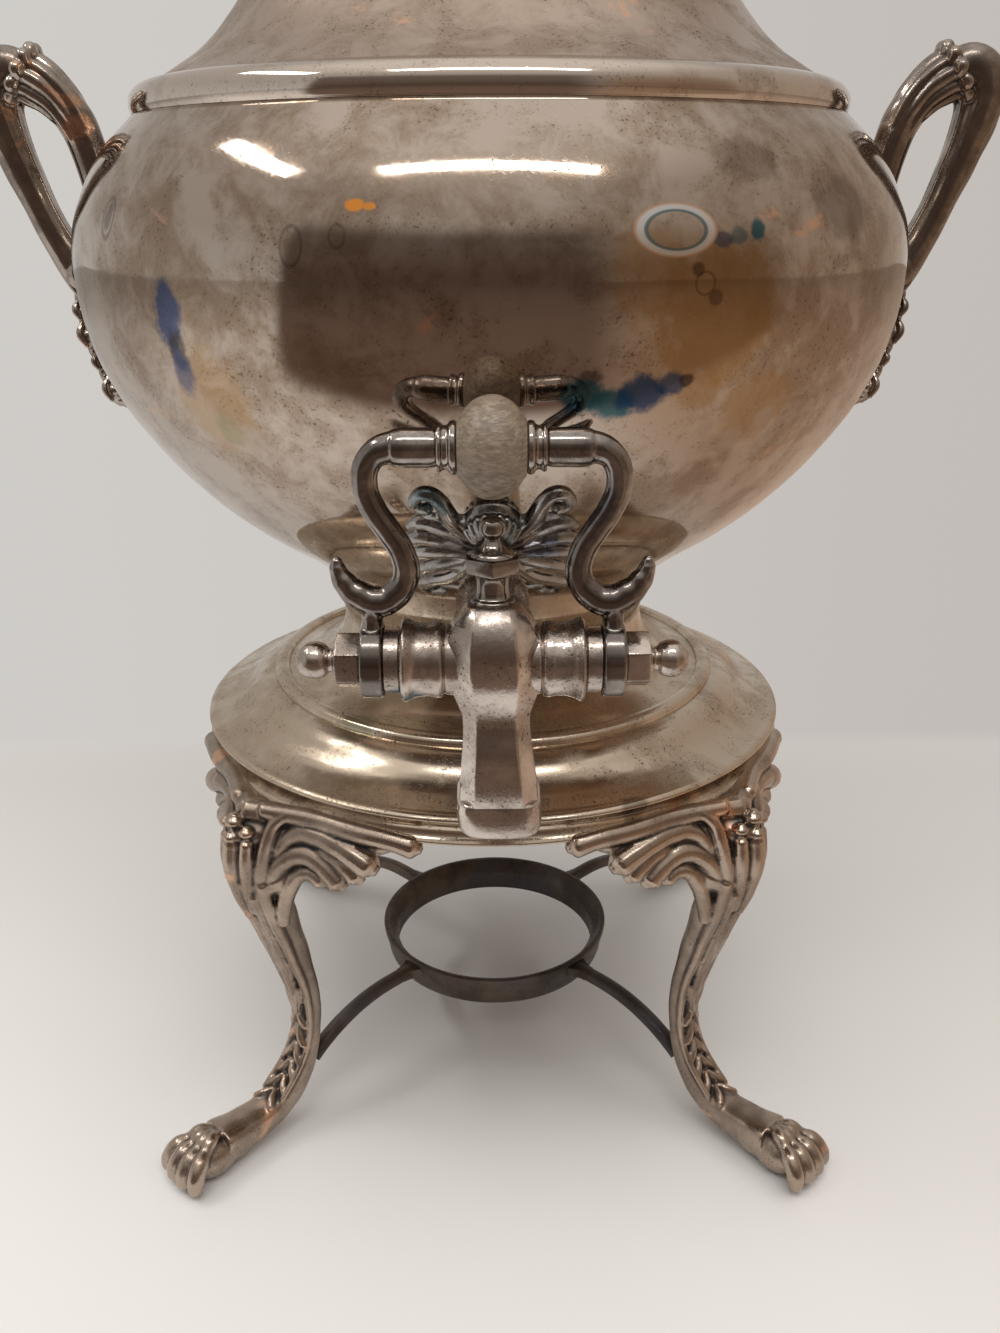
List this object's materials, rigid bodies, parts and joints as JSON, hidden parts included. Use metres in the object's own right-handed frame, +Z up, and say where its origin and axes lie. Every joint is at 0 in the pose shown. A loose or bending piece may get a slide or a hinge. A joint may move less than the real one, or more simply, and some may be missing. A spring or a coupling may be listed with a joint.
{
  "type": "tea urn with burner stand",
  "caption": "Round-bellied hot-water urn with a bell-shaped lift-off lid and loop handles, on a domed foot with cabriole paw legs, a burner ring below and a plug tap with a yoke lever.",
  "frame": {"origin": "on the table, under the vessel's axis, midway between the paws", "axes": "+Z up along the vessel's axis, -Y towards the tap, +X towards the right-hand handle seen from the tap's side"},
  "size_m": [0.3008, 0.2633, 0.423],
  "materials": {
    "silver_plate": "silver plate on brass, tarnished warm grey, glossy under a mottled film",
    "worn_plate": "cast brass with worn silver plate, dark in the hollows and coppery on the highs",
    "tap_metal": "cast brass with pitted, worn silver plate",
    "dark_silver": "glossy silver plate darkened by tarnish",
    "black_iron": "iron blackened by heat and soot, some brown",
    "bone": "turned bone, aged cream with fine grain",
    "fibre": "pressed fibre washer"
  },
  "bodies": {
    "urn": {"base_dome": "silver_plate", "bead_moulding": "silver_plate", "body_shell": "silver_plate", "burner_ring": "black_iron", "foot_stem": "silver_plate", "handle_drop_left": "silver_plate", "handle_drop_right": "silver_plate", "handle_left": "silver_plate", "handle_right": "silver_plate", "leg_front_left": "worn_plate", "leg_front_right": "worn_plate", "leg_rear_left": "worn_plate", "leg_rear_right": "worn_plate", "mouth_ring": "silver_plate", "ring_arm_front_left": "black_iron", "ring_arm_front_right": "black_iron", "ring_arm_rear_left": "black_iron", "ring_arm_rear_right": "black_iron", "spout_ferrule": "tap_metal", "tap_body": "tap_metal", "tap_cap": "tap_metal", "tap_escutcheon": "silver_plate", "tap_lock_nut": "tap_metal", "tap_socket": "tap_metal", "tap_washer": "fibre"},
    "lid": {"lid_shell": "silver_plate", "lid_bezel": "silver_plate", "lid_finial": "silver_plate", "finial_washer": "silver_plate", "finial_nut": "silver_plate"},
    "lever": {"tap_plug": "tap_metal", "plug_collar_left": "tap_metal", "plug_collar_right": "tap_metal", "lever_arm_left": "dark_silver", "lever_arm_right": "dark_silver", "grip_ferrule_left": "dark_silver", "grip_ferrule_right": "dark_silver", "grip_rod": "dark_silver", "lever_grip": "bone", "end_nut_left": "dark_silver", "end_nut_right": "dark_silver"}
  },
  "joints": [
    {"name": "lid_lift", "type": "slide", "parent": "urn", "child": "lid", "axis": [0, 0, 1], "range_m": [0, 0.12]},
    {"name": "tap_lever", "type": "hinge", "parent": "urn", "child": "lever", "pos_m": [0, -0.13, 0.1886], "axis": [1, 0, 0], "range_deg": [0, 90]}
  ]
}
